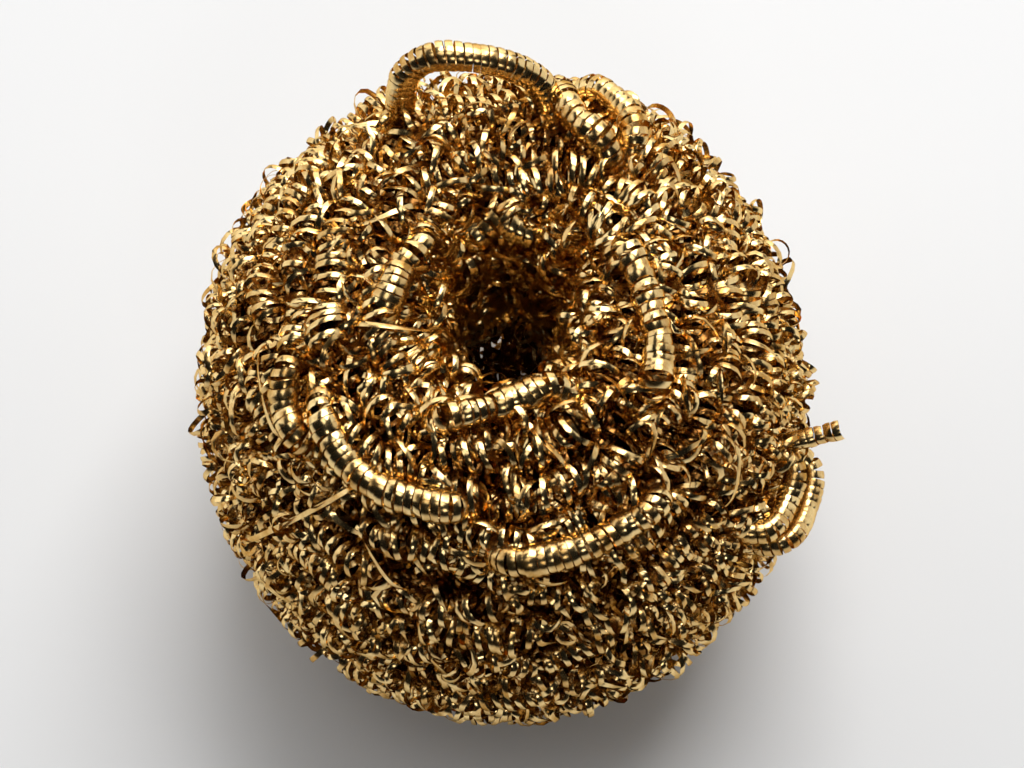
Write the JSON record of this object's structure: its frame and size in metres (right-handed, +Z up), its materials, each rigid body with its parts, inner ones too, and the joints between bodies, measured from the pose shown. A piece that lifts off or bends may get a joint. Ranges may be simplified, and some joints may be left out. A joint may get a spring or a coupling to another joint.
{
  "type": "brass cleaning wire",
  "caption": "Ball of curled flat brass ribbon, wound from one strand with a dimple in its top, for wiping a soldering iron's tip clean without water.",
  "frame": {"origin": "middle of the small flat spot that the ball rests on", "axes": "+Z up along the dimple's axis, -Y towards the side that faced the camera, +X to its right"},
  "size_m": [0.0621, 0.0647, 0.0539],
  "materials": {
    "brass": "bright rolled brass ribbon with light brown tarnish in the folds"
  },
  "bodies": {
    "root": {"wire_ball": "brass"}
  },
  "joints": []
}
